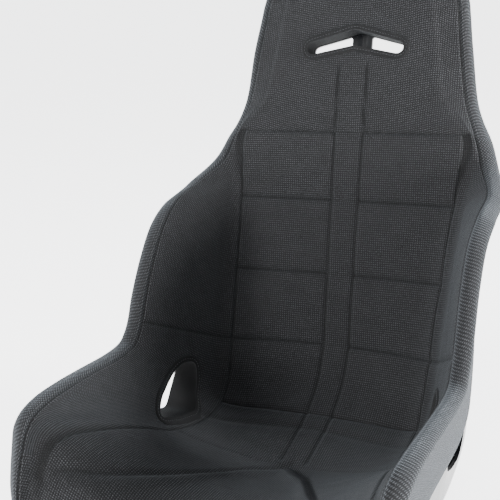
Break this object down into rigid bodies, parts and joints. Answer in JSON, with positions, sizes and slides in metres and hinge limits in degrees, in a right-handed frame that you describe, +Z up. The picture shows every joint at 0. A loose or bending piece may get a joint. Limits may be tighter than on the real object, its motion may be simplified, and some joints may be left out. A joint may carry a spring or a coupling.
{
  "type": "racing seat",
  "caption": "Fixed-back bucket racing seat with a laminate shell, padded cloth cover, side wings, shoulder-harness slots and lap-belt openings.",
  "frame": {"origin": "centre of the plan outline, on the floor under the mounting feet", "axes": "+Z up, -Y the way the occupant faces, +X to the right of a viewer who looks along +Y at the front of the seat"},
  "size_m": [0.5508, 0.7472, 0.7603],
  "materials": {
    "cover_cloth": "woven charcoal tweed with a fine light fleck",
    "binding_cloth": "close-woven black binding cloth",
    "foam": "open-cell upholstery foam",
    "laminate": "glossy black gelcoat over glass-fibre laminate",
    "fastening_tape": "hook-and-loop tape",
    "zinc_steel": "bright zinc plate"
  },
  "bodies": {
    "root": {"shell": "laminate", "back_rib": "laminate", "mount_foot_left_front": "laminate", "mount_foot_left_rear": "laminate", "mount_foot_right_front": "laminate", "mount_foot_right_rear": "laminate", "head_pad": "foam", "back_pad": "foam", "seat_pad": "foam", "thigh_roll_pad": "foam", "torso_bolster_pad_left": "foam", "torso_bolster_pad_right": "foam", "thigh_bolster_pad_left": "foam", "thigh_bolster_pad_right": "foam", "edge_foam_left": "foam", "edge_foam_right": "foam", "head_edge_foam_left": "foam", "head_edge_foam_right": "foam", "head_cap_foam": "foam", "cover_back_panel": "cover_cloth", "cover_seat_panel": "cover_cloth", "cover_front_skirt": "cover_cloth", "cover_front_hem": "cover_cloth", "cover_head_cap": "cover_cloth", "cover_side_left": "cover_cloth", "cover_side_right": "cover_cloth", "cover_outer_wrap_left": "cover_cloth", "cover_outer_wrap_right": "cover_cloth", "cover_head_wrap_left": "cover_cloth", "cover_head_wrap_right": "cover_cloth", "harness_slot_binding": "binding_cloth", "belt_opening_binding_left": "binding_cloth", "belt_opening_binding_right": "binding_cloth", "loop_tape_left": "fastening_tape", "loop_tape_right": "fastening_tape", "hook_tape_left": "fastening_tape", "hook_tape_right": "fastening_tape", "captive_nut_left_front": "zinc_steel", "captive_nut_left_rear": "zinc_steel", "captive_nut_right_front": "zinc_steel", "captive_nut_right_rear": "zinc_steel"}
  },
  "joints": []
}
